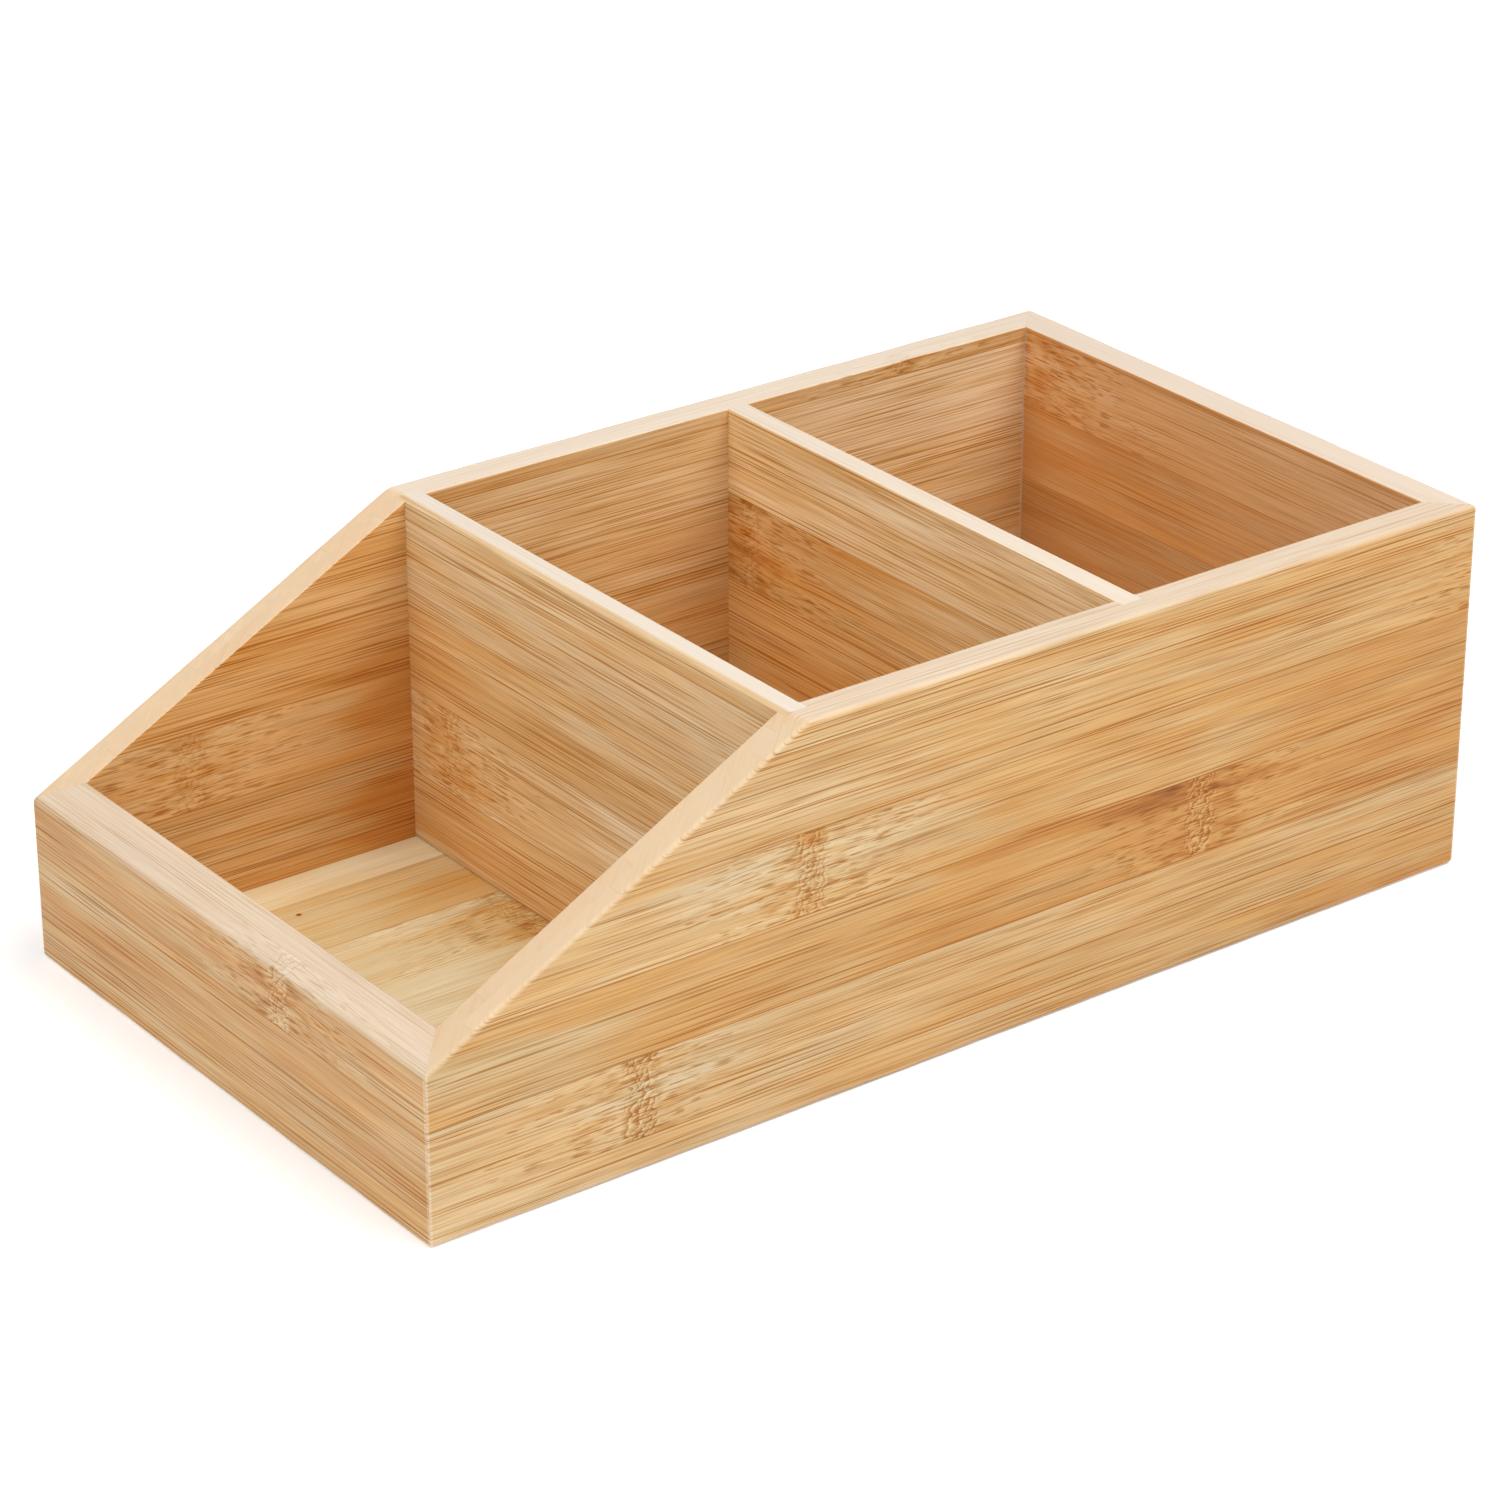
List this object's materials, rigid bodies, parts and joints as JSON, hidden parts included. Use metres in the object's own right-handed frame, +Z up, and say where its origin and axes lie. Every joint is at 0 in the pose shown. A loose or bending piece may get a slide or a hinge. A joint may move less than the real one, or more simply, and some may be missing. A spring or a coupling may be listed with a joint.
{
  "type": "compartment storage box",
  "caption": "Open bamboo storage box with mitred walls, fixed dividers that part it into equal compartments, and sides that slope down to a low front.",
  "frame": {"origin": "on the standing plane, under the middle of the box", "axes": "+Z up; +Y from the low sloping front to the full-height back; +X to the right, seen from the front"},
  "size_m": [0.1676, 0.305, 0.0965],
  "materials": {
    "wall_bamboo": "carbonised bamboo boards, fine grain along each board, clear satin finish",
    "divider_bamboo": "thin bamboo boards, fine grain along each board, clear satin finish",
    "floor_bamboo": "bamboo board glued up from flat strips, grain front to back, clear satin finish"
  },
  "bodies": {
    "root": {"left_side": "wall_bamboo", "right_side": "wall_bamboo", "front_panel": "wall_bamboo", "rear_panel": "wall_bamboo", "front_divider": "divider_bamboo", "rear_divider": "divider_bamboo", "floor_panel": "floor_bamboo"}
  },
  "joints": []
}
